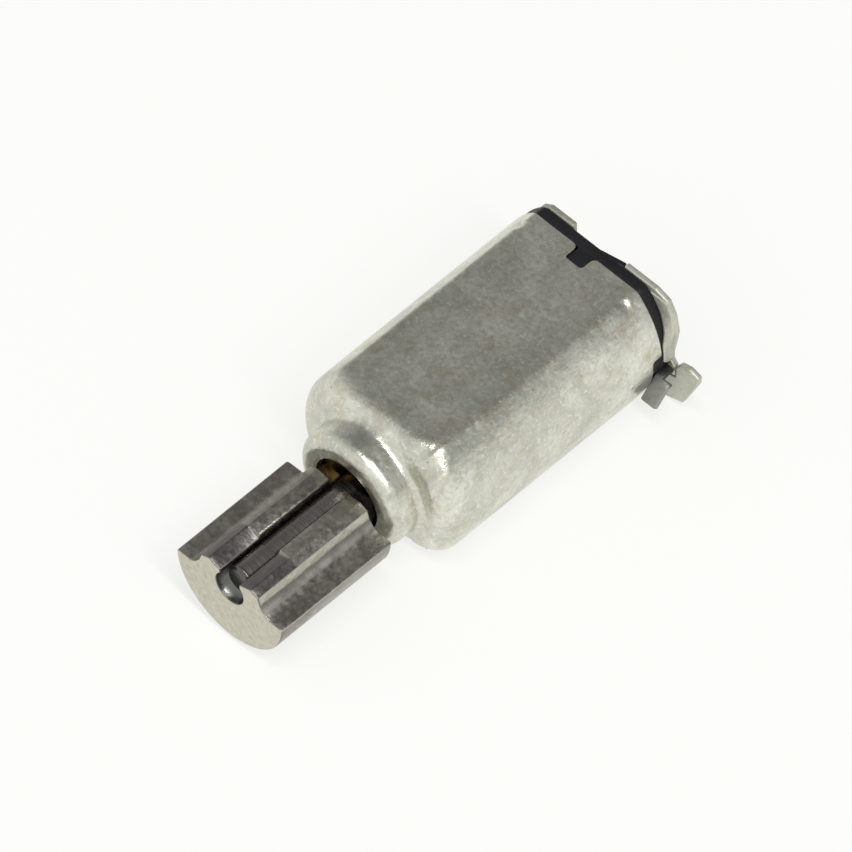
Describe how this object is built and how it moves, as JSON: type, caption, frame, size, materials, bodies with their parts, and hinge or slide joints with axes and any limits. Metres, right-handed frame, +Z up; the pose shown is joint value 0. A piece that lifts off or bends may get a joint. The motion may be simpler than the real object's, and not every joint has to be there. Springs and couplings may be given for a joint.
{
  "type": "vibration motor",
  "caption": "Slim bar-type vibration motor: flattened steel can with a nose, black end cap with solder lugs, and an eccentric weight staked to the shaft.",
  "frame": {"origin": "on the shaft axis, in the plane of the can's front wall, at the root of the nose", "axes": "+Y along the shaft towards the end cap and terminals, -Y towards the eccentric weight, +Z up towards one flat of the can, +X to the right towards the solder lugs"},
  "size_m": [0.0052, 0.0109, 0.0032],
  "materials": {
    "can_steel": "satin plated steel",
    "bronze": "oil-filled sintered bronze",
    "magnet": "ground",
    "black_plastic": "moulded",
    "shaft_steel": "ground",
    "terminal_metal": "dull plated",
    "brush_metal": "rolled",
    "nylon": "moulded",
    "lamination_steel": "stamped",
    "copper_wire": "enamelled",
    "commutator_copper": "turned",
    "varistor_ceramic": "fired ceramic",
    "solder": "bright",
    "sintered_weight": "sintered heavy metal"
  },
  "bodies": {
    "housing": {"can": "can_steel", "nose_bush": "bronze", "magnet_left": "magnet", "magnet_right": "magnet", "end_cap": "black_plastic", "rear_bush": "bronze", "thrust_plate": "shaft_steel", "terminal_left": "terminal_metal", "terminal_right": "terminal_metal", "brush_left": "brush_metal", "brush_right": "brush_metal"},
    "rotor": {"shaft": "shaft_steel", "front_washer": "nylon", "insulator_front": "nylon", "rotor_laminations": "lamination_steel", "insulator_rear": "nylon", "coil_1": "copper_wire", "coil_2": "copper_wire", "coil_3": "copper_wire", "commutator_hub": "black_plastic", "commutator_segment_1": "commutator_copper", "commutator_segment_2": "commutator_copper", "commutator_segment_3": "commutator_copper", "varistor_ring": "varistor_ceramic", "solder_joints": "solder", "rear_washer": "nylon", "counterweight": "sintered_weight"}
  },
  "joints": [
    {"name": "rotor_spin", "type": "hinge", "parent": "housing", "child": "rotor", "pos_m": [0, 0, 0], "axis": [0, 1, 0], "continuous": true}
  ]
}
